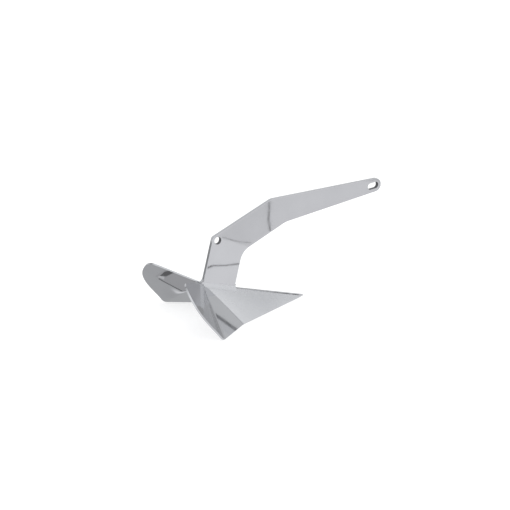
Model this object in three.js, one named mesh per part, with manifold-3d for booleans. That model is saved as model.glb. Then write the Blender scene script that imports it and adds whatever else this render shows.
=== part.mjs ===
// Plough anchor for a small cruising boat, polished stainless steel, about 10 kg.
// A flat bent-profile shank plate stands on a two-blade fluke. Each blade is one folded plate: a flat
// front blade, a fold, a low rear panel, a second fold and the raised wing. A ballast chamber with a
// lead casting is welded shut inside the toe.
//
// Millimetres. +X points to the toe and the shackle end, +Y to port, +Z up. Shapes are drawn in the
// toe frame, whose origin is the toe at the height of the fluke's lower edges. The last lines move
// the whole anchor so that its origin is the middle of the bottom of its box.
import * as THREE from 'three';
import { mergeVertices } from 'three/addons/utils/BufferGeometryUtils.js';
import Module from 'manifold-3d';

const gap = 0.3;   // left between two pieces that are welded together
const wide = 400;  // further than any part of the fluke reaches from the middle plane

// Fluke, starboard and port alike (Y is given as a distance from the middle plane)
const blade = { thickness: 5, noseX: 0 };
const apex = new THREE.Vector3(10, 0, 0);          // where ridge and lower edges would meet in a point
const heel = new THREE.Vector3(-337, 0, 102);      // rear end of the ridge, where all the folds meet
const foldFoot = new THREE.Vector3(-267, 105, 0);  // front fold meets the lower edge
const wingFoot = new THREE.Vector3(-371.5, 175, 0);
const wingTop = new THREE.Vector3(-444, 100.5, 152.5);
const cornerLength = { fold: 9, wing: 15, top: 20 };  // length of edge that each rounding takes
const cornerPieces = { fold: 3, wing: 5, trailing: 12, top: 5 };

// The wing's trailing edge, as distances along the fold from the heel and up the wing from the fold
const trailingEdge = {
  start: [196.5, 13], bend: [182.5, 52], upperBend: [182.5, 124.5], end: [96, 134.5],
};

// Shank plate, as X and Z in the toe frame
const shank = { thickness: 12, tongueDepth: 24 };
const shankHeel = [-337.5, 101];
const elbow = { x: -304, z: 227.5, r: 11 };
const topBend = { x: -113, z: 309.6, r: 40 };
const cap = { x: 253.5, z: 300.6, r: 20 };
const bottomBend = { x: -66, z: 235.9, r: 60 };
const throatBend = { x: -210.7, z: 172.3, r: 50 };
const shankToe = [-236, 74.5];
const slot = { x: 244, z: 299.6, length: 38, width: 19, tilt: THREE.MathUtils.degToRad(6.5) };
const tripHole = { x: -290, z: 217, r: 10.5 };
const curvePieces = 14;

// Ballast chamber in the toe
const chamber = { front: -42, rear: -170, floorZ: 1, plate: 4 };
const casting = { clearance: 0.6, shortOfFront: 8 };
const toeRoot = { front: -6, floorZ: -3, aheadOfFloor: 6 };

// Weld beads. legs are the lengths a bead takes on the faces that it joins; ends stop short of corners
const ridgeWeld = { heelHalf: 6, toeHalf: 2, crown: 0.34, root: 4.6 };
const shankWeld = { leg: 8, hollowOut: 0.3, hollowUp: 0.4, heelEnd: 2, toeEnd: 1 };
const tongueWeld = { leg: 6, end: 8 };
const frontWeld = { leg: 6, hollowOut: 1, hollowUp: 0.5, inset: 1, pieces: 5 };
const heelWeld = {
  depth: 13, leg: 8, out: 6.5, crest: 1.5, lip: 5, hollowOut: 1.5, hollowUp: 3, pieces: 4,
};
const floorWeld = { leg: 4, rearEnd: 1, frontEnd: 2 };
const bulkheadWeld = { leg: 4, up: 5.2, end: 6 };
const rootWeld = { half: 6, end: 1 };

const wasm = await Module();
wasm.setup();

const steel = { color: 0xc9ccd1, roughness: 0.1, metalness: 1 };
const weldSteel = { color: 0xc4c7cb, roughness: 0.2, metalness: 1 };
const innerSteel = { color: 0xa7a9ac, roughness: 0.45, metalness: 1 };
const lead = { color: 0x6e7176, roughness: 0.6, metalness: 0.8 };

// ---- Solids ----------------------------------------------------------------------------------

function toSolid(geometry) {
  const bare = geometry.clone();
  bare.deleteAttribute('normal');
  bare.deleteAttribute('uv');
  const merged = mergeVertices(bare, 1e-4);
  return new wasm.Manifold(new wasm.Mesh({
    numProp: 3,
    vertProperties: new Float32Array(merged.attributes.position.array),
    triVerts: new Uint32Array(merged.index.array),
  }));
}

function toGeometry(solid) {
  const mesh = solid.getMesh();
  const geometry = new THREE.BufferGeometry();
  geometry.setAttribute('position', new THREE.BufferAttribute(new Float32Array(mesh.vertProperties), 3));
  geometry.setIndex(new THREE.BufferAttribute(new Uint32Array(mesh.triVerts), 1));
  const flat = geometry.toNonIndexed();
  flat.computeVertexNormals();
  return flat;
}

// A closed geometry from points and triangles. Mirrored pieces have their triangles turned round.
function closedGeometry(points, triangles, mirrored) {
  const geometry = new THREE.BufferGeometry().setFromPoints(points);
  const order = mirrored ? ([a, b, c]) => [a, c, b] : (t) => t;
  geometry.setIndex(triangles.flatMap(order));
  return geometry;
}

// A straight piece between two outlines with the same number of corners, which may run either way.
function loft(from, to) {
  const n = from.length;
  const triangles = [];
  for (let i = 0; i < n; i += 1) {
    const j = (i + 1) % n;
    triangles.push([i, j, n + j], [i, n + j, n + i]);
  }
  for (let i = 1; i < n - 1; i += 1) {
    triangles.push([0, i + 1, i], [n, n + i, n + i + 1]);
  }
  const solid = toSolid(closedGeometry([...from, ...to], triangles, false));
  return solid.volume() < 0 ? loft(to, from) : solid;
}

function box(x0, x1, y0, y1, z0, z1) {
  const geometry = new THREE.BoxGeometry(x1 - x0, y1 - y0, z1 - z0);
  geometry.translate((x0 + x1) / 2, (y0 + y1) / 2, (z0 + z1) / 2);
  return toSolid(geometry);
}

// A shape drawn in X and Z, extruded across the middle plane.
function acrossMiddle(shape, width, segments) {
  const geometry = new THREE.ExtrudeGeometry(shape, {
    depth: width, bevelEnabled: false, curveSegments: segments,
  });
  geometry.rotateX(Math.PI / 2);
  geometry.translate(0, width / 2, 0);
  return toSolid(geometry);
}

// A whole solid from its port half, which ends on the middle plane.
function bothHalves(port) {
  return port.add(port.mirror([0, 1, 0]));
}

// ---- Fluke blades ----------------------------------------------------------------------------

function facetNormal(a, b) {
  const u = a.clone().sub(heel);
  const v = b.clone().sub(heel);
  return u.cross(v).normalize();
}

const upFacing = (n) => (n.z < 0 ? n.negate() : n);
const frontNormal = upFacing(facetNormal(apex, foldFoot));
const lowNormal = upFacing(facetNormal(foldFoot, wingFoot));
const wingNormal = upFacing(facetNormal(wingFoot, wingTop));

// Height of the front blade's outer face, or of a face `depth` mm under it, at X and side distance Y.
function skin(x, y, depth = 0) {
  const level = frontNormal.dot(apex) - depth;
  return (level - frontNormal.x * x - frontNormal.y * Math.abs(y)) / frontNormal.z;
}

// A point at `along` mm from a towards b.
function step(a, b, along) {
  return b.clone().sub(a).setLength(along).add(a);
}

// The outer boundary of one blade, from the apex along the lower edge, round the wing and up to the
// end of the straight top edge that runs back to the heel.
function bladeBoundary() {
  const toWing = wingFoot.clone().sub(heel).normalize();
  const upWing = wingNormal.clone().cross(toWing);
  upWing.multiplyScalar(Math.sign(upWing.dot(wingTop.clone().sub(heel))));
  const inWing = ([along, across]) => heel.clone()
    .addScaledVector(toWing, along)
    .addScaledVector(upWing, across);

  const foldStart = step(foldFoot, apex, cornerLength.fold);
  const foldEnd = step(foldFoot, wingFoot, cornerLength.fold);
  const footStart = step(wingFoot, foldFoot, cornerLength.wing);
  const sweepStart = inWing(trailingEdge.start);
  const bend = inWing(trailingEdge.bend);
  const upperBend = inWing(trailingEdge.upperBend);
  const sweepEnd = inWing(trailingEdge.end);
  const topEnd = step(wingTop, heel, cornerLength.top);
  const fold = new THREE.QuadraticBezierCurve3(foldStart, foldFoot, foldEnd);
  const foot = new THREE.QuadraticBezierCurve3(footStart, wingFoot, sweepStart);
  const trailing = new THREE.CubicBezierCurve3(sweepStart, bend, upperBend, sweepEnd);
  const top = new THREE.QuadraticBezierCurve3(sweepEnd, wingTop, topEnd);
  return [
    apex.clone(),
    ...fold.getPoints(cornerPieces.fold),
    ...foot.getPoints(cornerPieces.wing),
    ...trailing.getPoints(cornerPieces.trailing),
    ...top.getPoints(cornerPieces.top),
  ];
}

// Where three faces that meet at the heel meet again once each is moved `depth` mm inwards.
function heelUnder(depth) {
  const faces = new THREE.Matrix3().set(
    frontNormal.x, frontNormal.y, frontNormal.z,
    lowNormal.x, lowNormal.y, lowNormal.z,
    wingNormal.x, wingNormal.y, wingNormal.z,
  );
  const shift = new THREE.Vector3(-depth, -depth, -depth).applyMatrix3(faces.invert());
  return heel.clone().add(shift);
}

// One folded plate between two faces, `top` and `bottom` mm under the outer face. side is 1 for port
// and -1 for starboard.
function foldedPlate(side, top, bottom) {
  const isNew = (p, i, all) => i === 0 || p.distanceTo(all[i - 1]) > 1e-3;
  const edge = bladeBoundary().filter(isNew);
  const n = edge.length;
  const normals = edge.slice(1).map((p, i) => upFacing(facetNormal(edge[i], p)));
  const inward = edge.map((p, i) => {
    const a = normals[Math.max(i - 1, 0)];
    const b = normals[Math.min(i, n - 2)];
    return a.clone().add(b).divideScalar(-1 - a.dot(b));
  });
  const face = (depth) => {
    const rim = edge.map((p, i) => p.clone().addScaledVector(inward[i], depth));
    return [heelUnder(depth), ...rim];
  };
  const points = [...face(top), ...face(bottom)];
  const under = n + 1;
  const triangles = [];
  for (let i = 1; i < n; i += 1) {
    triangles.push([0, i, i + 1], [under, under + i + 1, under + i]);
    triangles.push([i, under + i + 1, i + 1], [i, under + i, under + i + 1]);
  }
  triangles.push([0, under + 1, 1], [0, under, under + 1]);
  triangles.push([n, under, 0], [n, under + n, under]);
  points.forEach((p) => { p.y *= side; });
  return toSolid(closedGeometry(points, triangles, side < 0));
}

// Half the width of the ridge's weld, which narrows from the shank to the toe.
function ridgeHalf(x) {
  const share = (x - blade.noseX) / (shankToe[0] - blade.noseX);
  return THREE.MathUtils.lerp(ridgeWeld.toeHalf, ridgeWeld.heelHalf, share);
}

// The ridge's weld, flush with both blades at its sides and crowned between them.
function ridgeWeldSolid() {
  const section = (x) => {
    const half = ridgeHalf(x);
    const crown = ridgeWeld.crown * half;
    const arc = [1, 0.5, 0].map((t) => (
      new THREE.Vector3(x, half * t, skin(x, half) + crown * (1 - t * t))));
    return [new THREE.Vector3(x, 0, skin(x, 0, ridgeWeld.root)), ...arc];
  };
  return bothHalves(loft(section(shankToe[0] + gap), section(blade.noseX)));
}

// The groove that the weld lies in, cut out of both blades and open above. Its sides lean, so they are
// set off by a little more than the gap.
function ridgeGroove() {
  const sideGap = 1.2 * gap;
  const rootGap = 3 * gap;
  const section = (x) => {
    const half = ridgeHalf(x) + sideGap;
    const low = skin(x, half);
    return [
      new THREE.Vector3(x, 0, skin(x, 0, ridgeWeld.root + rootGap)),
      new THREE.Vector3(x, half, low),
      new THREE.Vector3(x, half, wide),
      new THREE.Vector3(x, 0, wide),
    ];
  };
  return bothHalves(loft(section(shankToe[0]), section(blade.noseX + gap)));
}

function bladeSolid(side) {
  const middle = side * gap / 2;
  const far = -side * wide;
  const otherSide = box(-wide * 2, wide, Math.min(middle, far), Math.max(middle, far), -wide, wide);
  const beyondNose = box(blade.noseX, wide, -wide, wide, -wide, wide);
  const half = shank.thickness / 2 + gap;
  const besideShank = box(-wide * 2, shankToe[0] + gap, -half, half, -wide, wide);
  return foldedPlate(side, 0, blade.thickness)
    .subtract(otherSide)
    .subtract(beyondNose)
    .subtract(besideShank)
    .subtract(ridgeGroove());
}

// ---- Shank -----------------------------------------------------------------------------------

// Draws a line and then an arc round a corner, tangent to the edges that meet there.
function roundCorner(shape, before, corner, after) {
  const at = new THREE.Vector2(corner.x, corner.z);
  const a = new THREE.Vector2(...before).sub(at).normalize();
  const b = new THREE.Vector2(...after).sub(at).normalize();
  const half = Math.acos(a.dot(b)) / 2;
  const centre = a.clone().add(b).setLength(corner.r / Math.sin(half)).add(at);
  const reach = corner.r / Math.tan(half);
  const start = a.multiplyScalar(reach).add(at).sub(centre);
  const end = b.multiplyScalar(reach).add(at).sub(centre);
  shape.absarc(centre.x, centre.y, corner.r, start.angle(), end.angle(), start.cross(end) < 0);
}

// The direction from the cap's centre to the point where a straight edge from a bend's corner touches
// the cap. side is 1 for the top edge and -1 for the bottom edge.
function capAngle(bend, side) {
  const dx = bend.x - cap.x;
  const dz = bend.z - cap.z;
  return Math.atan2(dz, dx) - side * Math.acos(cap.r / Math.hypot(dx, dz));
}

function onCap(angle) {
  return [cap.x + cap.r * Math.cos(angle), cap.z + cap.r * Math.sin(angle)];
}

function shankOutline() {
  const tongueTop = skin(shankToe[0], 0) - shank.tongueDepth;
  const slope = (shankToe[0] - throatBend.x) / (shankToe[1] - throatBend.z);
  const tongueToe = [shankToe[0] + slope * (tongueTop - shankToe[1]), tongueTop];
  const tongueHeel = [shankHeel[0], skin(shankHeel[0], 0) - shank.tongueDepth];
  const topAngle = capAngle(topBend, 1);
  const bottomAngle = capAngle(bottomBend, -1);
  const shape = new THREE.Shape();
  shape.moveTo(...tongueHeel);
  shape.lineTo(...shankHeel);
  roundCorner(shape, shankHeel, elbow, [topBend.x, topBend.z]);
  roundCorner(shape, [elbow.x, elbow.z], topBend, onCap(topAngle));
  shape.absarc(cap.x, cap.z, cap.r, topAngle, bottomAngle, true);
  roundCorner(shape, onCap(bottomAngle), bottomBend, [throatBend.x, throatBend.z]);
  roundCorner(shape, [bottomBend.x, bottomBend.z], throatBend, shankToe);
  shape.lineTo(...tongueToe);
  shape.closePath();
  return shape;
}

function shankHoles() {
  const trip = new THREE.Path();
  trip.absarc(tripHole.x, tripHole.z, tripHole.r, 0, Math.PI * 2, false);
  const shackle = new THREE.Path();
  const reach = (slot.length - slot.width) / 2;
  for (const end of [1, -1]) {
    const x = slot.x + end * reach * Math.cos(slot.tilt);
    const z = slot.z + end * reach * Math.sin(slot.tilt);
    const from = slot.tilt - end * Math.PI / 2;
    shackle.absarc(x, z, slot.width / 2, from, from + Math.PI, false);
  }
  shackle.closePath();
  return [trip, shackle];
}

function shankSolid() {
  const shape = shankOutline();
  shape.holes.push(...shankHoles());
  return acrossMiddle(shape, shank.thickness, curvePieces);
}

// ---- Weld beads and chamber ------------------------------------------------------------------

// A bead that runs straight from one section to another, mirrored for starboard.
function bead(side, from, to) {
  const place = (list) => list.map(([x, y, z]) => new THREE.Vector3(x, side * y, z));
  return loft(place(from), place(to));
}

// The direction across the front blade's face, away from the ridge.
const outSlope = frontNormal.y / frontNormal.z;
const outLength = Math.hypot(1, outSlope);

// Hollow bead in the corner between the shank's side and the blade's outer face.
function shankBead(side) {
  const y = shank.thickness / 2 + gap;
  const section = (x) => {
    const z = skin(x, y, -gap);
    const out = shankWeld.leg / outLength;
    return [
      [x, y, z],
      [x, y + out, z - out * outSlope],
      [x, y + shankWeld.hollowOut * out, z + shankWeld.hollowUp * shankWeld.leg],
      [x, y, z + shankWeld.leg],
    ];
  };
  const from = section(shankHeel[0] + shankWeld.heelEnd);
  const to = section(shankToe[0] - shankWeld.toeEnd);
  return bead(side, from, to).subtract(foldedPlate(side, -gap, blade.thickness));
}

// Bead under the fluke, between the shank's tongue and the blade's inner face.
function tongueBead(side) {
  const y = shank.thickness / 2 + gap;
  const section = (x) => {
    const z = skin(x, y, blade.thickness + gap);
    const out = tongueWeld.leg / outLength;
    return [[x, y, z], [x, y, z - tongueWeld.leg], [x, y + out, z - out * outSlope]];
  };
  return bead(side, section(shankHeel[0] + tongueWeld.end), section(shankToe[0] - tongueWeld.end));
}

// Bead that closes the notch between the blades behind the shank.
function heelBead() {
  const rear = shankHeel[0] - gap;
  const top = shankHeel[1];
  const lean = (elbow.x - shankHeel[0]) / (elbow.z - shankHeel[1]);
  const shape = new THREE.Shape();
  const lip = [rear - heelWeld.out, top + heelWeld.crest];
  shape.moveTo(rear, top - heelWeld.depth);
  shape.lineTo(rear, top);
  shape.lineTo(rear + heelWeld.leg * lean, top + heelWeld.leg);
  shape.quadraticCurveTo(rear - heelWeld.hollowOut, top + heelWeld.hollowUp, ...lip);
  shape.lineTo(rear - heelWeld.out, top - heelWeld.lip);
  shape.closePath();
  return acrossMiddle(shape, shank.thickness - gap, heelWeld.pieces);
}

// Rounded bead where the shank's front edge meets the top of the ridge's weld.
function toeBead() {
  const lean = (throatBend.x - shankToe[0]) / (throatBend.z - shankToe[1]);
  const frontX = (z) => shankToe[0] + 2 * gap + lean * (z - shankToe[1]);
  const topZ = (x) => skin(x, ridgeWeld.heelHalf) + ridgeWeld.crown * ridgeWeld.heelHalf + 2 * gap;
  const fall = topZ(1) - topZ(0);
  const z = (topZ(0) + fall * frontX(0)) / (1 - fall * lean);
  const x = frontX(z);
  const shape = new THREE.Shape();
  const foot = x + frontWeld.leg;
  const head = z + frontWeld.leg;
  shape.moveTo(x, z);
  shape.lineTo(foot, topZ(foot));
  shape.quadraticCurveTo(x + frontWeld.hollowOut, z + frontWeld.hollowUp, frontX(head), head);
  shape.closePath();
  return acrossMiddle(shape, shank.thickness - 2 * frontWeld.inset, frontWeld.pieces);
}

// The space inside the front blades between two stations, with its floor at a height.
function wedge(x0, x1, clearance, floorZ) {
  const section = (x) => {
    const top = skin(x, 0, blade.thickness + clearance);
    const half = (top - floorZ) / outSlope;
    return [[x, 0, top], [x, -half, floorZ], [x, half, floorZ]].map((p) => new THREE.Vector3(...p));
  };
  return loft(section(x0), section(x1));
}

const floorTop = chamber.floorZ + chamber.plate;

function floorPlate() {
  const slab = box(chamber.rear, wide, -wide, wide, chamber.floorZ, floorTop);
  return wedge(chamber.rear, chamber.front, gap, chamber.floorZ).intersect(slab);
}

function bulkhead() {
  const rear = chamber.rear - gap;
  return wedge(rear - chamber.plate, rear, gap, chamber.floorZ);
}

function ballast() {
  const rear = chamber.rear + casting.clearance;
  const front = chamber.front - casting.shortOfFront;
  return wedge(rear, front, casting.clearance, floorTop + gap);
}

// Weld metal that fills the narrow space between the blades ahead of the floor plate.
function toeRootWeld() {
  const rear = chamber.front + gap + toeRoot.aheadOfFloor;
  return wedge(rear, toeRoot.front, gap, toeRoot.floorZ);
}

// Bead along the underside of the floor plate, at the blade's inner face.
function floorBead(side) {
  const section = (x) => {
    const z = chamber.floorZ - gap;
    const y = (skin(x, 0, blade.thickness + gap) - z) / outSlope;
    const out = floorWeld.leg / outLength;
    return [[x, y, z], [x, y - floorWeld.leg, z], [x, y + out, z - out * outSlope]];
  };
  const from = section(chamber.rear + floorWeld.rearEnd);
  const to = section(chamber.front - floorWeld.frontEnd);
  return bead(side, from, to);
}

// Bead up the rear face of the bulkhead, at the blade's inner face.
function bulkheadBead(side) {
  const x = chamber.rear - chamber.plate - 2 * gap;
  const section = (y) => {
    const z = skin(x, y, blade.thickness + gap);
    const behind = x - bulkheadWeld.leg;
    return [[x, y, z], [behind, y, skin(behind, y, blade.thickness + gap)], [x, y, z - bulkheadWeld.up]];
  };
  const reach = (skin(x, 0, blade.thickness + gap) - chamber.floorZ) / outSlope;
  return bead(side, section(gap), section(reach - bulkheadWeld.end));
}

// Bead along the inside of the ridge, between the bulkhead and the shank's tongue.
function rootBead() {
  const section = (x) => {
    const top = skin(x, 0, blade.thickness + gap);
    const low = top - rootWeld.half * outSlope;
    return [[x, 0, top], [x, -rootWeld.half, low], [x, rootWeld.half, low]]
      .map((p) => new THREE.Vector3(...p));
  };
  const rear = shankToe[0] + rootWeld.end;
  const front = chamber.rear - chamber.plate - bulkheadWeld.leg - 3 * gap;
  return loft(section(rear), section(front));
}

// ---- Assembly --------------------------------------------------------------------------------

const anchor = new THREE.Group();

function add(name, solid, finish) {
  const mesh = new THREE.Mesh(toGeometry(solid), new THREE.MeshStandardMaterial(finish));
  mesh.name = name;
  anchor.add(mesh);
}

add('shank', shankSolid(), steel);
add('ridge_weld', ridgeWeldSolid(), weldSteel);
add('shank_front_weld', toeBead(), weldSteel);
add('shank_heel_weld', heelBead(), weldSteel);
add('toe_root_weld', toeRootWeld(), weldSteel);
add('ridge_root_weld', rootBead(), weldSteel);
add('chamber_floor', floorPlate(), innerSteel);
add('chamber_bulkhead', bulkhead(), innerSteel);
add('ballast_casting', ballast(), lead);

for (const [name, side] of [['starboard', -1], ['port', 1]]) {
  add(`blade_${name}`, bladeSolid(side), steel);
  add(`shank_weld_${name}`, shankBead(side), weldSteel);
  add(`tongue_weld_${name}`, tongueBead(side), weldSteel);
  add(`floor_weld_${name}`, floorBead(side), weldSteel);
  add(`bulkhead_weld_${name}`, bulkheadBead(side), weldSteel);
}

// Origin at the middle of the bottom of the whole anchor's box.
const bounds = new THREE.Box3().setFromObject(anchor);
const middle = bounds.getCenter(new THREE.Vector3());
anchor.position.set(-middle.x, 0, -bounds.min.z);

export default anchor;
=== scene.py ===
"""Polished stainless plough anchor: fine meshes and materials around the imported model.

Everything is in the row frame: metres, +X towards the toe and the shackle end, +Y to port, +Z up.
Shapes are worked out in the toe frame, in millimetres from the toe at the height of the fluke's
lower edges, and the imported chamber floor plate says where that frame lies.
"""

import math

import bmesh
import bpy
from mathutils import Matrix, Vector


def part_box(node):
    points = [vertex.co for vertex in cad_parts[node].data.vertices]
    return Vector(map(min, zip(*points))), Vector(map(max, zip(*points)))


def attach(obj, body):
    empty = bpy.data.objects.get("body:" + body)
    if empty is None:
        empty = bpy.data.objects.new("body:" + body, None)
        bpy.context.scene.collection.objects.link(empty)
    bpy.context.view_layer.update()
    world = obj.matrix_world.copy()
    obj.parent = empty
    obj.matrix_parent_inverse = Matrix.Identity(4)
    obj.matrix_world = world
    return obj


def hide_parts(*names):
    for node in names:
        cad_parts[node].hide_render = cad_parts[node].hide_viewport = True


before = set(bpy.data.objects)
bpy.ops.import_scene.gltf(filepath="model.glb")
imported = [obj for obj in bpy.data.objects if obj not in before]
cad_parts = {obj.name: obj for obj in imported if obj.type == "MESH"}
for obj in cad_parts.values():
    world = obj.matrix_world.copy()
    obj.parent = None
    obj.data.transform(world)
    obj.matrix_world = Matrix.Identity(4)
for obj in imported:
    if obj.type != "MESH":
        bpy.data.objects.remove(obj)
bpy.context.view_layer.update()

MM = 0.001
UP = Vector((0, 0, 1))

# Driving dimensions, as in the CAD model (toe frame, millimetres)
PLATE = 5.0
SHANK = 12.0

# Corners of the port half of the fluke's outer faces, and the rounding of its outline
APEX = Vector((10, 0, 0))
HEEL = Vector((-337, 0, 102))
FOLD_FOOT = Vector((-267, 105, 0))
WING_FOOT = Vector((-371.5, 175, 0))
WING_TOP = Vector((-444, 100.5, 152.5))
FOLD_ROUND, WING_ROUND, TOP_ROUND = 5, 12, 20

# Shank profile: X and Z, with a radius where it bends; the slot adds its length, width and tilt
SHANK_HEEL = (-337.5, 101)
ELBOW = (-304, 227.5, 11)
TOP_BEND = (-113, 309.6, 40)
CAP = (253.5, 300.6, 20)
BOTTOM_BEND = (-66, 235.9, 60)
THROAT_BEND = (-210.7, 172.3, 50)
SHANK_TOE = (-236, 74.5)
TONGUE_DEPTH = 24
SLOT = (244, 299.6, 38, 19, math.radians(6.5))
TRIP_HOLE = (-290, 217, 10.5)

# Ridge weld's half widths and lowest point, ballast chamber, and what grinding leaves on edges
RIDGE_HEEL_HALF, RIDGE_TOE_HALF = 6, 2
LOWEST = -3
CHAMBER_FRONT, CHAMBER_REAR, CHAMBER_FLOOR, CHAMBER_PLATE = -42, -170, 1, 4
FILLET_LEG = 10
EDGE_ROUND = 1.2
HOLE_ROUND = 0.6

# The toe frame's origin in the row frame, and the table's point under it
floor_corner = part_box("chamber_floor")[0]
ORIGIN = Vector((floor_corner.x - CHAMBER_REAR * MM, 0, floor_corner.z - CHAMBER_FLOOR * MM))
TABLE = Vector((ORIGIN.x, 0, 0))


def place(point):
    """A toe-frame point in millimetres as a row-frame point in metres."""
    return Vector(point) * MM + ORIGIN


# ---- Mesh helpers ----------------------------------------------------------------------------


def make_object(name, bm, material, replaced):
    """A finished piece from a bmesh in the toe frame. It stands for the CAD nodes it replaces."""
    bmesh.ops.remove_doubles(bm, verts=bm.verts, dist=1e-4)
    bmesh.ops.recalc_face_normals(bm, faces=bm.faces)
    mesh = bpy.data.meshes.new(name)
    bm.to_mesh(mesh)
    bm.free()
    mesh.transform(Matrix.Translation(ORIGIN) @ Matrix.Scale(MM, 4))
    mesh.shade_smooth()
    obj = bpy.data.objects.new(name, mesh)
    bpy.context.scene.collection.objects.link(obj)
    mesh.materials.append(material)
    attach(obj, "root")
    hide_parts(*replaced)
    return obj


def keep_faces_flat(obj):
    """Shades the large faces flat and leaves the rounding to the small ones between them."""
    normals = obj.modifiers.new("flat_faces", "WEIGHTED_NORMAL")
    normals.weight = 100
    normals.keep_sharp = True


def sweep(bm, rings):
    """Skins rings of equal length into a tube that is closed at both ends."""
    rows = [[bm.verts.new(p) for p in ring] for ring in rings]
    for a, b in zip(rows, rows[1:]):
        for i in range(len(a)):
            j = (i + 1) % len(a)
            bm.faces.new((a[i], a[j], b[j], b[i]))
    bm.faces.new(list(reversed(rows[0])))
    bm.faces.new(rows[-1])


def bezier(points, count):
    """Points along a Bezier curve of any degree, both ends included."""
    result = []
    for k in range(count + 1):
        row = [Vector(p) for p in points]
        while len(row) > 1:
            row = [a.lerp(b, k / count) for a, b in zip(row, row[1:])]
        result.append(row[0])
    return result


# ---- Fluke -----------------------------------------------------------------------------------


def facet_normal(a, b):
    """Upward unit normal of the flat panel through the heel and two other points."""
    normal = (a - HEEL).cross(b - HEEL).normalized()
    return -normal if normal.z < 0 else normal


FRONT = facet_normal(APEX, FOLD_FOOT)
LOW = facet_normal(FOLD_FOOT, WING_FOOT)
WING = facet_normal(WING_FOOT, WING_TOP)
OUT_SLOPE = FRONT.y / FRONT.z
OUT_LENGTH = math.hypot(1, OUT_SLOPE)


def skin(x, y, depth=0.0):
    """Height of the front blade's outer face, or of a face `depth` under it."""
    return (FRONT.dot(APEX) - depth - FRONT.x * x - FRONT.y * abs(y)) / FRONT.z


def ridge_half(x):
    """Half the width of the ridge's weld, which narrows from the shank to the toe."""
    return RIDGE_TOE_HALF + (RIDGE_HEEL_HALF - RIDGE_TOE_HALF) * x / SHANK_TOE[0]


def blade_boundary():
    """The outer edge of the port blade, from the apex round the wing to the top edge's rear end."""
    to_wing = (WING_FOOT - HEEL).normalized()
    up_wing = WING.cross(to_wing)
    if up_wing.dot(WING_TOP - HEEL) < 0:
        up_wing.negate()

    def in_wing(along, across):
        return HEEL + to_wing * along + up_wing * across

    def step(a, b, length):
        return a + (b - a).normalized() * length

    sweep_start, sweep_end = in_wing(196.5, 13), in_wing(96, 134.5)
    fold = [step(FOLD_FOOT, APEX, FOLD_ROUND), FOLD_FOOT, step(FOLD_FOOT, WING_FOOT, FOLD_ROUND)]
    foot = [step(WING_FOOT, FOLD_FOOT, WING_ROUND), WING_FOOT, sweep_start]
    trailing = [sweep_start, in_wing(182.5, 52), in_wing(182.5, 124.5), sweep_end]
    top = [sweep_end, WING_TOP, step(WING_TOP, HEEL, TOP_ROUND)]
    points = [APEX.copy()]
    for curve, count in ((fold, 12), (foot, 20), (trailing, 40), (top, 16)):
        points += [p for p in bezier(curve, count) if (p - points[-1]).length > 1e-3]
    return points


def heel_under(depth):
    """The point under the heel where the three panels' planes meet, each sunk by depth."""
    rows = Matrix((FRONT, LOW, WING))
    return HEEL + rows.inverted() @ Vector((-depth, -depth, -depth))


def cut(bm, point, normal):
    """Cuts away what lies on the normal's side of a plane, and closes the cut."""
    geometry = bm.verts[:] + bm.edges[:] + bm.faces[:]
    done = bmesh.ops.bisect_plane(
        bm, geom=geometry, dist=1e-5, plane_co=point, plane_no=normal, clear_outer=True
    )
    edges = [e for e in done["geom_cut"] if isinstance(e, bmesh.types.BMEdge)]
    bmesh.ops.contextual_create(bm, geom=edges)


def blade(side, name, material):
    """One folded plate, cut back beside the shank and along the ridge's weld."""
    edge = blade_boundary()
    normals = [facet_normal(a, b) for a, b in zip(edge, edge[1:])]
    inward = []
    for i in range(len(edge)):
        a = normals[max(i - 1, 0)]
        b = normals[min(i, len(normals) - 1)]
        inward.append((a + b) / (-1 - a.dot(b)))
    bm = bmesh.new()
    loops = []
    for depth in (0.0, PLATE):
        centre = bm.verts.new(heel_under(depth))
        ring = [bm.verts.new(p + n * depth) for p, n in zip(edge, inward)]
        for a, b in zip(ring, ring[1:]):
            bm.faces.new((centre, a, b))
        loops.append([centre] + ring)
    top, under = loops
    for i in range(len(top)):
        j = (i + 1) % len(top)
        bm.faces.new((top[i], under[i], under[j], top[j]))
    bmesh.ops.recalc_face_normals(bm, faces=bm.faces)

    toe = Vector((0, ridge_half(0), 0))
    rear = Vector((SHANK_TOE[0], ridge_half(SHANK_TOE[0]), 0))
    to_ridge = (toe - rear).cross(UP)
    cut(bm, toe, to_ridge)
    cut(bm, Vector((0, SHANK / 2, 0)), Vector((0, -1, 0)))
    cut(bm, Vector((0, 0, 0)), Vector((1, 0, 0)))
    bmesh.ops.dissolve_limit(bm, angle_limit=math.radians(0.05), verts=bm.verts, edges=bm.edges)
    to_ridge.normalize()
    weights = bm.edges.layers.float.new("bevel_weight_edge")
    near = 0.01
    for e in bm.edges:
        beside_shank = all(abs(v.co.y - SHANK / 2) < near for v in e.verts)
        at_ridge = all(abs((v.co - toe).dot(to_ridge)) < near for v in e.verts)
        sharp = len(e.link_faces) == 2 and e.calc_face_angle() > math.radians(40)
        welded = sharp and (beside_shank or at_ridge)
        e[weights] = 1.0 if sharp and not welded else 0.0
        e.smooth = not welded
    for v in bm.verts:
        v.co.y *= side
    obj = make_object(name, bm, material, [name])
    bevel = obj.modifiers.new("rounded_rim", "BEVEL")
    bevel.width = EDGE_ROUND * MM
    bevel.segments = 4
    bevel.limit_method = "WEIGHT"
    keep_faces_flat(obj)


# ---- Shank -----------------------------------------------------------------------------------


def arc(centre, radius, start, end, count):
    """Points along an arc, both ends included. Angles are in radians."""
    return [
        Vector((centre[0] + radius * math.cos(start + (end - start) * k / count),
                centre[1] + radius * math.sin(start + (end - start) * k / count)))
        for k in range(count + 1)
    ]


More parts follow.
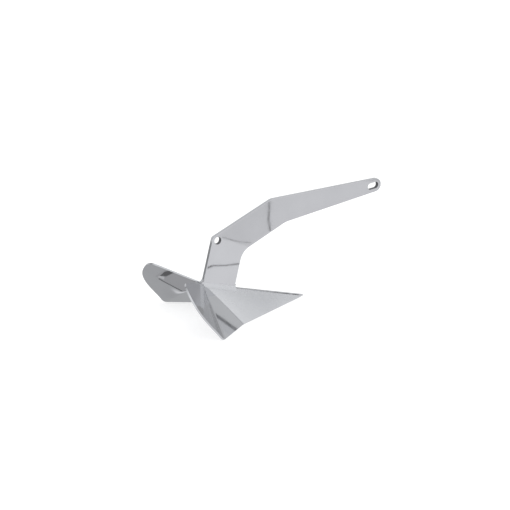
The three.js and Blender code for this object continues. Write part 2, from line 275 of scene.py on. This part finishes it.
def round_corner(before, corner, after, count):
    """Points on an arc that is tangent to both edges of a corner (x, z, radius)."""
    at = Vector(corner[:2])
    a = (Vector(before[:2]) - at).normalized()
    b = (Vector(after[:2]) - at).normalized()
    half = a.angle(b) / 2
    centre = at + (a + b).normalized() * (corner[2] / math.sin(half))
    reach = corner[2] / math.tan(half)
    start = at + a * reach - centre
    end = at + b * reach - centre
    turn = math.atan2(start.x * end.y - start.y * end.x, start.dot(end))
    first = math.atan2(start.y, start.x)
    return arc(centre, corner[2], first, first + turn, count)


def cap_angle(bend, side):
    """Where on the shank's round end the tangent from a bend touches it."""
    dx, dz = bend[0] - CAP[0], bend[1] - CAP[1]
    return math.atan2(dz, dx) - side * math.acos(CAP[2] / math.hypot(dx, dz))


def shank_outline():
    """The shank's profile in X and Z, clockwise from the heel of its tongue."""
    top, bottom = cap_angle(TOP_BEND, 1), cap_angle(BOTTOM_BEND, -1)
    while bottom > top:
        bottom -= 2 * math.pi
    cap = arc(CAP, CAP[2], top, bottom, 40)
    tongue = skin(SHANK_TOE[0], 0) - TONGUE_DEPTH
    lean = (SHANK_TOE[0] - THROAT_BEND[0]) / (SHANK_TOE[1] - THROAT_BEND[1])
    return [
        Vector((SHANK_HEEL[0], skin(SHANK_HEEL[0], 0) - TONGUE_DEPTH)),
        Vector(SHANK_HEEL),
        *round_corner(SHANK_HEEL, ELBOW, TOP_BEND, 16),
        *round_corner(ELBOW, TOP_BEND, cap[0], 16),
        *cap,
        *round_corner(cap[-1], BOTTOM_BEND, THROAT_BEND, 16),
        *round_corner(BOTTOM_BEND, THROAT_BEND, SHANK_TOE, 24),
        Vector((SHANK_TOE[0] + lean * (tongue - SHANK_TOE[1]), tongue)),
    ]


def slot_outline():
    """The shackle slot, anticlockwise."""
    x, z, length, width, tilt = SLOT
    reach = (length - width) / 2
    points = []
    for end in (1, -1):
        centre = (x + end * reach * math.cos(tilt), z + end * reach * math.sin(tilt))
        start = tilt - end * math.pi / 2
        points += arc(centre, width / 2, start, start + math.pi, 24)
    return points


def edge_profile(thickness, radius, segments):
    """Steps across a plate's rounded edge: (inset from the outline, place across the plate)."""
    half = [
        (radius * (1 - math.sin(a)), thickness / 2 - radius * (1 - math.cos(a)))
        for a in [math.pi / 2 * k / segments for k in range(segments + 1)]
    ]
    return half + [(inset, -across) for inset, across in reversed(half)]


def inset_loop(points, inset):
    """The loop moved to its right-hand side, with mitred corners."""
    result = []
    n = len(points)
    for i in range(n):
        a = (points[i] - points[i - 1]).normalized()
        b = (points[(i + 1) % n] - points[i]).normalized()
        right_a, right_b = Vector((a.y, -a.x)), Vector((b.y, -b.x))
        result.append(points[i] + (right_a + right_b) * (inset / (1 + right_a.dot(right_b))))
    return result


def shank(material, bore_material):
    """A flat plate with rounded edges. The outline runs clockwise and the holes anticlockwise."""
    hole = arc(TRIP_HOLE[:2], TRIP_HOLE[2], 0, 2 * math.pi, 64)[:-1]
    bm = bmesh.new()
    sides = {0: [], -1: []}
    polished, bored = 0, 1
    loops = [
        (shank_outline(), EDGE_ROUND, polished),
        (hole, HOLE_ROUND, bored),
        (slot_outline(), HOLE_ROUND, bored),
    ]
    for loop, rounding, surface in loops:
        loop = [p for i, p in enumerate(loop) if (p - loop[i - 1]).length > 1e-3]
        rows = []
        for inset, across in edge_profile(SHANK, rounding, 4):
            ring = inset_loop(loop, inset)
            rows.append([bm.verts.new((p.x, across, p.y)) for p in ring])
        for a, b in zip(rows, rows[1:]):
            for i in range(len(a)):
                face = bm.faces.new((a[i - 1], a[i], b[i], b[i - 1]))
                face.material_index = surface
        for k in sides:
            row = rows[k]
            sides[k] += [bm.edges.get((row[i - 1], row[i])) for i in range(len(row))]
    for edges in sides.values():
        bmesh.ops.triangle_fill(bm, edges=edges, use_beauty=True)
    obj = make_object("shank_plate", bm, material, ["shank"])
    obj.data.materials.append(bore_material)
    keep_faces_flat(obj)


# ---- Polished welds outside ------------------------------------------------------------------


def ridge_top(x, y):
    """Height of the fluke's top near the ridge, with the weld's crown between the blades."""
    half = ridge_half(x)
    if abs(y) >= half:
        return skin(x, y)
    radius = half * OUT_LENGTH / OUT_SLOPE
    base = skin(x, half) - radius / OUT_LENGTH
    return base + math.sqrt(radius * radius - y * y)


def ridge_weld(material):
    """The ridge's weld, ground round between the blades, wide at the shank and fine at the toe."""
    nose, under_shank, root_depth, root_share = 2.0, 6, 4, 0.6
    rear, length = SHANK_TOE[0] - under_shank, -nose - SHANK_TOE[0] + under_shank
    stations = [(rear + k * length / 24, 0) for k in range(25)]
    for k in range(1, 7):
        a = math.pi / 2 * k / 6
        stations.append((-nose + nose * math.sin(a), nose * (1 - math.cos(a))))
    across = [math.sin(math.pi / 2 * k / 8) for k in range(-8, 9)]
    rings = []
    for x, drop in stations:
        half = ridge_half(x)
        crown = [(x, half * t, ridge_top(x, half * t * 0.9999) - drop) for t in across]
        depth = max(skin(x, half) - root_depth - drop, LOWEST)
        root = [(x, half * t, depth) for t in (root_share, -root_share)]
        rings.append(crown + root)
    bm = bmesh.new()
    sweep(bm, rings)
    make_object("ridge_seam", bm, material, ["ridge_weld"])


def foot_stations():
    """Stations round the shank's foot: (base point, outward direction), starboard heel to port."""
    side = SHANK / 2
    radius = EDGE_ROUND
    rear, front = SHANK_HEEL[0], SHANK_TOE[0] + 0.8 - radius
    to_starboard, to_port = Vector((0, -1, 0)), Vector((0, 1, 0))
    along = [rear + (front - rear) * k / 30 for k in range(31)]
    starboard = [(Vector((x, -side, 0)), to_starboard) for x in along]
    port = [(Vector((x, side, 0)), to_port) for x in reversed(along)]
    turn = []
    for y_sign, angles in ((-1, range(-90, 1, 9)), (1, range(0, 91, 9))):
        for a in angles:
            out = Vector((math.cos(math.radians(a)), math.sin(math.radians(a)), 0))
            centre = Vector((front, y_sign * (side - radius), 0))
            turn.append((centre + out * radius, out))
    return starboard, turn, port


LEAN = (THROAT_BEND[0] - SHANK_TOE[0]) / (THROAT_BEND[1] - SHANK_TOE[1])


def fillet_ring(base, out, leg):
    """A section of the fillet, tangent to the shank above and to the fluke below."""
    sunk = 0.02
    top = Vector((base.x, base.y, ridge_top(base.x, base.y)))
    on_shank = top + Vector((LEAN * out.x * leg, 0, leg)) - out * sunk
    foot = base + out * leg
    on_fluke = Vector((foot.x, foot.y, ridge_top(foot.x, foot.y) - sunk))
    root = top - out * 1.5 - UP * 2
    return bezier([on_shank, top - out * sunk, on_fluke], 12) + [root]


def shank_fillets(material):
    """The weld round the shank's foot, ground to a hollow fillet, in its three parts."""
    starboard, turn, port = foot_stations()
    parts = {
        "shank_weld_starboard": starboard,
        "shank_front_weld": turn,
        "shank_weld_port": port,
    }
    for name, stations in parts.items():
        bm = bmesh.new()
        sweep(bm, [fillet_ring(base, out, FILLET_LEG) for base, out in stations])
        obj = make_object(name + "_fillet", bm, material, [name])
        obj.data.set_sharp_from_angle(angle=math.radians(50))


def heel_weld(material):
    """The weld behind the shank, which fills the notch between the two wings."""
    half_width, end_sink, reach = 7.5, 1.2, 9.5
    rear, top = SHANK_HEEL
    lean = (ELBOW[0] - rear) / (ELBOW[1] - top)
    rings = []
    for k in range(13):
        y = -half_width + 2 * half_width * k / 12
        crest = top - end_sink * (y / half_width) ** 4
        on_shank = (rear + 9 * lean + 0.3, y, crest + 10)
        hollow = (rear - 1.0, y, crest + 3.4)
        on_wings = (rear - reach, y, crest + 4.2)
        under = [(rear - reach, y, top - 1), (rear, y, top - 11), (rear + 3, y, top - 4)]
        rings.append(bezier([on_shank, hollow, on_wings], 10) + under)
    bm = bmesh.new()
    sweep(bm, rings)
    obj = make_object("shank_heel_fillet", bm, material, ["shank_heel_weld"])
    obj.data.set_sharp_from_angle(angle=math.radians(50))


# ---- Rippled beads underneath ----------------------------------------------------------------


def ripple(place_along, pitch):
    """Height of a bead's crescents along it, from 0 to 1."""
    return abs(math.cos(math.pi * place_along / pitch))


def bead(name, start, end, arm_a, arm_b, material, leg, mirror=False):
    """A weld bead left as laid: crescents along a straight corner between two faces.

    start and end are the corner's ends; arm_a and arm_b are unit directions along the two faces.
    """
    length = (end - start).length
    pitch, across = 2.4, 8
    count = int(length / 0.6)
    bulge = (arm_a + arm_b).normalized()
    rings = []
    for k in range(count + 1):
        s = length * k / count
        from_end = min(s, length - s)
        size = leg * math.sqrt(min(1.0, (from_end + 0.4) / 4.0))
        corner = start.lerp(end, k / count)
        wander = 1 + 0.05 * math.sin(s * 0.37) + 0.03 * math.sin(s * 0.91 + 1.3)
        ring = []
        for i in range(across + 1):
            t = i / across
            hump = 4 * t * (1 - t)
            crest = 0.2 + 0.07 * ripple(s + 1.1 * hump, pitch)
            chord = arm_a * (1 - t) + arm_b * t
            ring.append(corner + (chord + bulge * (hump * crest)) * (size * wander))
        ring.append(corner - bulge * 0.6)
        rings.append(ring)
    if mirror:
        rings = [[Vector((p.x, -p.y, p.z)) for p in ring] for ring in rings]
    bm = bmesh.new()
    sweep(bm, rings)
    obj = make_object(name + "_bead", bm, material, [name])
    obj.data.set_sharp_from_angle(angle=math.radians(60))


def under_beads(material):
    """The beads under the fluke: beside the tongue, round the floor plate and on the bulkhead."""
    out = Vector((0, 1, -OUT_SLOPE)).normalized()

    def tongue(x):
        return Vector((x, SHANK / 2, skin(x, SHANK / 2, PLATE)))

    def floor_edge(x):
        z = CHAMBER_FLOOR
        return Vector((x, (skin(x, 0, PLATE) - z) / OUT_SLOPE, z))

    def bulkhead_edge(y):
        x = CHAMBER_REAR - CHAMBER_PLATE
        return Vector((x, y, skin(x, y, PLATE)))

    reach = (skin(CHAMBER_REAR, 0, PLATE) - CHAMBER_FLOOR) / OUT_SLOPE
    back = Vector((-1, 0, FRONT.x / FRONT.z)).normalized()
    for name, mirror in (("port", False), ("starboard", True)):
        bead("tongue_weld_" + name, tongue(SHANK_HEEL[0] + 8), tongue(SHANK_TOE[0] - 8),
             -UP, out, material, 6, mirror)
        bead("floor_weld_" + name, floor_edge(CHAMBER_REAR + 1), floor_edge(CHAMBER_FRONT - 2),
             Vector((0, -1, 0)), out, material, 4, mirror)
        bead("bulkhead_weld_" + name, bulkhead_edge(0.3), bulkhead_edge(reach - 6),
             back, -UP, material, 4, mirror)


# ---- Materials -------------------------------------------------------------------------------


class Nodes:
    """Short names for building a node tree. A value is a number, a colour or a socket to link."""

    def __init__(self, tree):
        self.tree = tree

    def link(self, source, target):
        self.tree.links.new(source, target)

    def feed(self, socket, value):
        if isinstance(value, bpy.types.NodeSocket):
            self.link(value, socket)
        elif socket.type == "RGBA" and len(value) == 3:
            socket.default_value = (*value, 1)
        else:
            socket.default_value = value

    def add(self, kind, **sockets):
        node = self.tree.nodes.new(kind)
        for name, value in sockets.items():
            self.feed(node.inputs[name.replace("_", " ")], value)
        return node

    def noise(self, vector, scale, detail=3.0, rough=0.55):
        sockets = {"Vector": vector, "Scale": scale, "Detail": detail, "Roughness": rough}
        return self.add("ShaderNodeTexNoise", **sockets).outputs["Fac"]

    def spread(self, value, low, high, out_low, out_high):
        """Maps low to out_low and high to out_high, without going past either."""
        node = self.add("ShaderNodeMapRange", Value=value)
        for socket, number in zip(node.inputs[1:5], (low, high, out_low, out_high)):
            socket.default_value = number
        return node.outputs[0]

    def smooth(self, value, start, end):
        """0 before start and 1 after end, whichever way they run."""
        ends = (start, end, 0, 1) if start < end else (end, start, 1, 0)
        eased = self.spread(value, *ends)
        eased.node.interpolation_type = "SMOOTHSTEP"
        return eased

    def math(self, operation, a, b):
        node = self.tree.nodes.new("ShaderNodeMath")
        node.operation = operation
        self.feed(node.inputs[0], a)
        self.feed(node.inputs[1], b)
        return node.outputs[0]

    def blend(self, factor, a, b):
        node = self.tree.nodes.new("ShaderNodeMix")
        node.data_type = "RGBA"
        self.link(factor, node.inputs["Factor"])
        self.feed(node.inputs["A"], a)
        self.feed(node.inputs["B"], b)
        return node.outputs["Result"]

    def grey_ramp(self, value, stops):
        """A colour ramp over 0 to 1 from its stops, as (place, brightness), in a faintly cool grey."""
        node = self.add("ShaderNodeValToRGB", Fac=value)
        ramp = node.color_ramp
        while len(ramp.elements) < len(stops):
            ramp.elements.new(0.5)
        for element, (place_along, brightness) in zip(ramp.elements, stops):
            element.position = place_along
            element.color = (brightness * 0.99, brightness, brightness * 1.015, 1)
        return node.outputs[0]

    def bump(self, height, strength, distance, normal=None):
        node = self.add("ShaderNodeBump", Height=height, Strength=strength, Distance=distance)
        if normal is not None:
            self.link(normal, node.inputs["Normal"])
        return node.outputs[0]


class Material(Nodes):
    """A node material with a Principled shader, worked out in object coordinates."""

    def __init__(self, name):
        self.material = bpy.data.materials.new(name)
        self.material.use_nodes = True
        super().__init__(self.material.node_tree)
        self.shader = self.tree.nodes["Principled BSDF"]
        self.place = self.tree.nodes.new("ShaderNodeTexCoord").outputs["Object"]

    def set(self, **sockets):
        """Feeds the shader's sockets."""
        for name, value in sockets.items():
            self.feed(self.shader.inputs[name.replace("_", " ")], value)

    def stretched(self, scale):
        node = self.add("ShaderNodeMapping", Vector=self.place)
        node.inputs["Scale"].default_value = scale
        return node.outputs[0]

    def only_glow(self, colour, cover=None):
        """Makes it plain emission, which hides what lies under it by the factor cover."""
        self.tree.nodes.remove(self.shader)
        surface = self.add("ShaderNodeEmission", Color=colour, Strength=1.0).outputs[0]
        if cover is not None:
            mix = self.add("ShaderNodeMixShader", Fac=cover)
            clear = self.tree.nodes.new("ShaderNodeBsdfTransparent")
            self.link(clear.outputs[0], mix.inputs[1])
            self.link(surface, mix.inputs[2])
            surface = mix.outputs[0]
        self.link(surface, self.tree.nodes["Material Output"].inputs["Surface"])


def ahead_of_fold(n):
    """1 on the front blades and 0 behind their folds, whose line runs from the heel to its foot."""
    heel, foot = place(HEEL), place(FOLD_FOOT)
    x, y, _ = n.add("ShaderNodeSeparateXYZ", Vector=n.place).outputs
    along = (foot.x - heel.x) / foot.y
    out = n.math("MULTIPLY", n.math("ABSOLUTE", y, 0), along)
    return n.smooth(n.math("SUBTRACT", n.math("SUBTRACT", x, out), heel.x), 0.0, 0.006)


def polished_steel(name, dark, light, rough, rough_front=None):
    """Mirror-polished stainless: faint polishing lines, slight waves and patches of haze.

    rough_front is the roughness of the fluke ahead of its front folds, which the ground wears.
    """
    n = Material(name)
    patches = n.noise(n.place, 9.0, 2.0)
    fine = n.noise(n.stretched((60, 900, 900)), 1.0, 2.0)
    haze = n.noise(n.place, 38.0, 4.0)
    colour = n.blend(n.spread(patches, 0.3, 0.7, 0, 1), dark, light)
    gloss = n.spread(haze, 0.35, 0.75, rough * 0.75, rough * 1.35)
    if rough_front is not None:
        front = ahead_of_fold(n)
        worn = n.spread(haze, 0.35, 0.75, rough_front * 0.85, rough_front * 1.15)
        gloss = n.math("ADD", gloss, n.math("MULTIPLY", worn, front))
        # The front blades' colour is lightened towards the shank: a painted lighter sheen.
        x = n.add("ShaderNodeSeparateXYZ", Vector=n.place).outputs[0]
        shank_toe = place((SHANK_TOE[0], 0, 0)).x
        painted_sheen = n.math("MULTIPLY", front, n.smooth(x, shank_toe + 0.10, shank_toe - 0.12))
        colour = n.blend(n.math("MULTIPLY", painted_sheen, 0.24), colour, (0.95, 0.955, 0.96))
    gloss = n.math("ADD", gloss, n.spread(fine, 0.45, 0.75, 0, 0.03))
    waves = n.bump(n.noise(n.place, 11.0, 1.0), 1.0, 0.00010)
    normal = n.bump(fine, 0.10, 0.00002, waves)
    n.set(Metallic=1.0, Base_Color=colour, Roughness=gloss, Normal=normal)
    return n.material


def satin_steel(name, dark, light, rough):
    """Brushed plate and welded metal, with soft stains; the bores' far darker steel is painted shade.
    """
    n = Material(name)
    stains = n.noise(n.place, 24.0, 5.0, 0.6)
    brushed = n.noise(n.stretched((90, 1500, 1500)), 1.0, 3.0)
    colour = n.blend(n.spread(stains, 0.3, 0.75, 0, 1), dark, light)
    stained = n.spread(stains, 0.3, 0.7, rough, rough + 0.1)
    gloss = n.math("ADD", stained, n.spread(brushed, 0.3, 0.7, 0, 0.12))
    normal = n.bump(brushed, 0.35, 0.00006)
    n.set(Metallic=1.0, Base_Color=colour, Roughness=gloss, Normal=normal)
    return n.material


def cast_lead(name):
    """Dull cast metal with a grainy skin."""
    n = Material(name)
    grain = n.noise(n.place, 140.0, 5.0, 0.7)
    colour = n.blend(grain, (0.11, 0.115, 0.125), (0.2, 0.205, 0.215))
    gloss = n.spread(grain, 0.3, 0.7, 0.55, 0.8)
    normal = n.bump(grain, 0.5, 0.0004)
    n.set(Metallic=0.7, Base_Color=colour, Roughness=gloss, Normal=normal)
    return n.material


# ---- Studio ----------------------------------------------------------------------------------


def stage_mesh(name, bm, material):
    """A mesh of the studio's, in the row frame, which isn't part of the anchor."""
    mesh = bpy.data.meshes.new(name)
    bm.to_mesh(mesh)
    bm.free()
    mesh.materials.append(material)
    obj = bpy.data.objects.new(name, mesh)
    bpy.context.scene.collection.objects.link(obj)
    return obj


def floor():
    """A white light table: paper lit from above, with a little light of its own."""
    bm = bmesh.new()
    bmesh.ops.create_grid(bm, x_segments=1, y_segments=1, size=30)
    n = Material("floor_paper")
    paper = n.blend(n.noise(n.place, 180.0, 3.0), (0.50, 0.50, 0.50), (0.53, 0.53, 0.53))
    n.set(Base_Color=paper, Roughness=0.9, Specular_IOR_Level=0.1)
    n.set(Emission_Color=(1, 1, 1), Emission_Strength=0.66)
    stage_mesh("floor", bm, n.material)


def cool_grey(radiance):
    return (radiance, radiance, radiance * 1.02)


def glow(name, radiance):
    """Plain emission for a card that only reflections see."""
    n = Material(name)
    n.only_glow(cool_grey(radiance))
    return n.material


def far_side_glow():
    """A glow that paints a darker table beyond the anchor into reflections: it fades in past the
    middle plane, and is darkest far behind.
    """
    n = Material("far_side")
    ahead, port, _ = n.add("ShaderNodeSeparateXYZ", Vector=n.place).outputs
    stops = [(0.0, 0.40), (0.35, 0.45), (0.45, 0.60), (0.68, 0.57), (0.80, 0.42)]
    colour = n.grey_ramp(n.spread(ahead, -1.5, 0.5, 0, 1), stops)
    n.only_glow(colour, n.smooth(port, 0.02, 0.08))
    return n.material


def reflections_only(obj):
    obj.visible_camera = False
    obj.visible_diffuse = False
    obj.visible_shadow = False


def card(name, corners, material, height=0.4):
    """A glowing card lying on the table that only the polished steel mirrors: a painted reflection."""
    bm = bmesh.new()
    bm.faces.new([bm.verts.new(Vector((x, y, height)) * MM + TABLE) for x, y in corners])
    reflections_only(stage_mesh(name, bm, material))


def strip(name, points, width, material):
    """A narrow card along a line of points."""
    for k, (a, b) in enumerate(zip(points, points[1:])):
        a, b = Vector(a), Vector(b)
        side = Vector((a.y - b.y, b.x - a.x)).normalized() * (width / 2)
        card(f"{name}_{k}", [a - side, b - side, b + side, a + side], material, 0.8)


def soft_spot(name, centre, radii, turn, radiance):
    """An oval glowing card that fades out from its middle: a painted reflection that only the steel
    mirrors.
    """
    bm = bmesh.new()
    bmesh.ops.create_grid(bm, x_segments=1, y_segments=1, size=1)
    n = Material(name)
    ball = n.add("ShaderNodeTexGradient", Vector=n.place)
    ball.gradient_type = "SPHERICAL"
    n.only_glow(cool_grey(radiance), n.smooth(ball.outputs["Fac"], 0.0, 0.8))
    obj = stage_mesh(name, bm, n.material)
    obj.location = Vector((*centre, 1.0)) * MM + TABLE
    obj.scale = (radii[0] * MM, radii[1] * MM, 1)
    obj.rotation_euler.z = math.radians(turn)
    reflections_only(obj)


def table_cards():
    """Glowing cards that paint what the shank and the near wing mirror: a white table with darker
    patches and thin dark lines, all painted reflections.
    """
    far = 6000
    # A bright glow over the whole starboard half: the white table painted into the reflections.
    card("near_side", [(-far, -far), (far, -far), (far, 20), (-far, 20)], glow("near_side", 1.04), 0.2)
    # Darker glowing patches: painted darker reflections.
    front = [(85, -635), (110, -495), (275, -615), (500, -980), (380, -1150), (60, -800)]
    card("painted_front_patch", front, glow("painted_front_patch", 0.91))
    right = [(275, -615), (500, -980), (700, -1600), (2000, -1600), (2000, -300)]
    card("painted_right_patch", right, glow("painted_right_patch", 0.96))
    distant = [(1050, -500), (1050, -1600), (3000, -3000), (3000, -500)]
    card("painted_distant_patch", distant, glow("painted_distant_patch", 0.80), 0.6)
    # Dark glowing strips: painted dark lines in the shank's reflection.
    painted_line_glow = glow("painted_dark_line", 0.22)
    strip("painted_line_right", [(270, -610), (305, -670), (335, -725), (415, -845), (495, -975)], 6, painted_line_glow)
    strip("painted_line_left", [(90, -640), (105, -575), (120, -550), (140, -530)], 6, painted_line_glow)
    shade = glow("painted_line_shade", 0.3)
    strip("painted_line_near", [(-120, -380), (-90, -390), (-55, -370), (-5, -360)], 12, shade)


def far_cards():
    """Glowing cards that paint what the far wing mirrors: a grey table with painted shade and dark and
    light patches close to the fluke.
    """
    far = 6000
    card("far_side", [(-far, 0), (far, 0), (far, far), (-far, far)], far_side_glow())
    shade = [(-440, 100), (-458, 125), (-455, 165), (-443, 158), (-361, 90), (-345, 55), (-385, 45)]
    card("wing_shade", shade, glow("wing_shade", 0.52), 0.6)
    # Dark glowing patches and a line: painted shade in the far wing's reflection.
    dark = glow("wing_painted_dark", 0.18)
    card("wing_patch", [(-449, 116), (-453, 132), (-449, 151), (-438, 134), (-437, 104)], dark, 0.9)
    card("wing_notch", [(-397, 64), (-386, 57), (-377, 46), (-384, 46)], dark, 0.9)
    strip("wing_line", [(-443, 158), (-425, 144), (-383, 109), (-361, 90)], 2.5, dark)
    # A lighter glowing patch and a soft band: painted highlights in the far wing's reflection.
    painted_light_points = [(-449, 160), (-441, 151), (-432, 143), (-440, 139), (-448, 152)]
    card("wing_painted_light", painted_light_points, glow("wing_painted_light", 0.75), 0.9)
    soft_spot("wing_band", (-366, 108), (50, 9), -37, 1.0)


def studio_light():
    """Soft light from all round, brightest to starboard, with a large soft box behind on that side.

    The camera sees a plain pale background in its place.
    """
    world = bpy.data.worlds.new("studio")
    bpy.context.scene.world = world
    world.use_nodes = True
    n = Nodes(world.node_tree)
    direction = n.tree.nodes.new("ShaderNodeTexCoord").outputs["Generated"]
    ahead, port, _ = n.add("ShaderNodeSeparateXYZ", Vector=direction).outputs
    stops = [
        (0.0, 1.10), (0.46, 1.10), (0.53, 1.04), (0.56, 0.97), (0.62, 0.76),
        (0.66, 0.72), (0.70, 0.48), (0.80, 0.45), (0.90, 0.85), (1.0, 0.9),
    ]
    light = n.grey_ramp(n.spread(port, -1, 1, 0, 1), stops)
    behind = n.math("MULTIPLY", n.smooth(ahead, -0.2, -0.5), n.smooth(port, 0.1, 0.4))
    soft_box = n.math("MULTIPLY", n.smooth(ahead, 0.15, -0.1), n.smooth(port, 0.02, -0.15))
    gain = n.math("ADD", 1.0, n.math("MULTIPLY", soft_box, 0.12))
    gain = n.math("SUBTRACT", gain, n.math("MULTIPLY", behind, 0.1))
    bright = n.tree.nodes.new("ShaderNodeVectorMath")
    bright.operation = "SCALE"
    n.link(light, bright.inputs[0])
    n.link(gain, bright.inputs["Scale"])
    seen = n.tree.nodes.new("ShaderNodeLightPath").outputs["Is Camera Ray"]
    colour = n.blend(seen, bright.outputs[0], (0.96, 0.96, 0.965))
    n.link(colour, n.tree.nodes["Background"].inputs["Color"])
    bpy.context.scene.view_settings.view_transform = "Standard"


def camera():
    """A long lens on the starboard rear quarter, a little above the anchor."""
    azimuth, elevation, distance = math.radians(-31.88), math.radians(18.30), 3.0
    back = Vector((math.sin(azimuth) * math.cos(elevation),
                   -math.cos(azimuth) * math.cos(elevation),
                   math.sin(elevation)))
    data = bpy.data.cameras.new("camera")
    data.sensor_width = 36
    data.lens = 74.84
    data.clip_end = 100
    obj = bpy.data.objects.new("camera", data)
    bpy.context.scene.collection.objects.link(obj)
    target = place((-165.8, 0, 152.3))
    obj.location = target + back * distance
    obj.rotation_euler = (-back).to_track_quat("-Z", "Y").to_euler()
    bpy.context.scene.camera = obj


# ---- Build -----------------------------------------------------------------------------------

polish = ((0.525, 0.53, 0.545), (0.56, 0.565, 0.58))
steel = polished_steel("mirror_steel", *polish, 0.045)
blade_steel = polished_steel("blade_steel", *polish, 0.045, 0.2)
weld_steel = polished_steel("ground_weld_steel", (0.52, 0.525, 0.54), (0.56, 0.565, 0.58), 0.28)
raw_bead_steel = satin_steel("laid_bead_steel", (0.40, 0.38, 0.36), (0.55, 0.545, 0.54), 0.22)
inner_steel = satin_steel("satin_plate", (0.40, 0.405, 0.415), (0.50, 0.50, 0.505), 0.30)
# The hole's and the slot's walls get steel far darker than the plate: painted shade in these recesses.
bore_steel = satin_steel("bore_painted_shade", (0.13, 0.132, 0.14), (0.20, 0.202, 0.21), 0.30)

shank(steel, bore_steel)
for name, side in (("blade_starboard", -1), ("blade_port", 1)):
    blade(side, name, blade_steel)
ridge_weld(weld_steel)
shank_fillets(weld_steel)
heel_weld(weld_steel)
under_beads(raw_bead_steel)

carried = {
    "chamber_floor": inner_steel,
    "chamber_bulkhead": inner_steel,
    "ballast_casting": cast_lead("cast_lead"),
    "toe_root_weld": raw_bead_steel,
    "ridge_root_weld": raw_bead_steel,
}
for name, material in carried.items():
    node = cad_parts[name]
    node.data.materials.clear()
    node.data.materials.append(material)

floor()
table_cards()
far_cards()
studio_light()
camera()
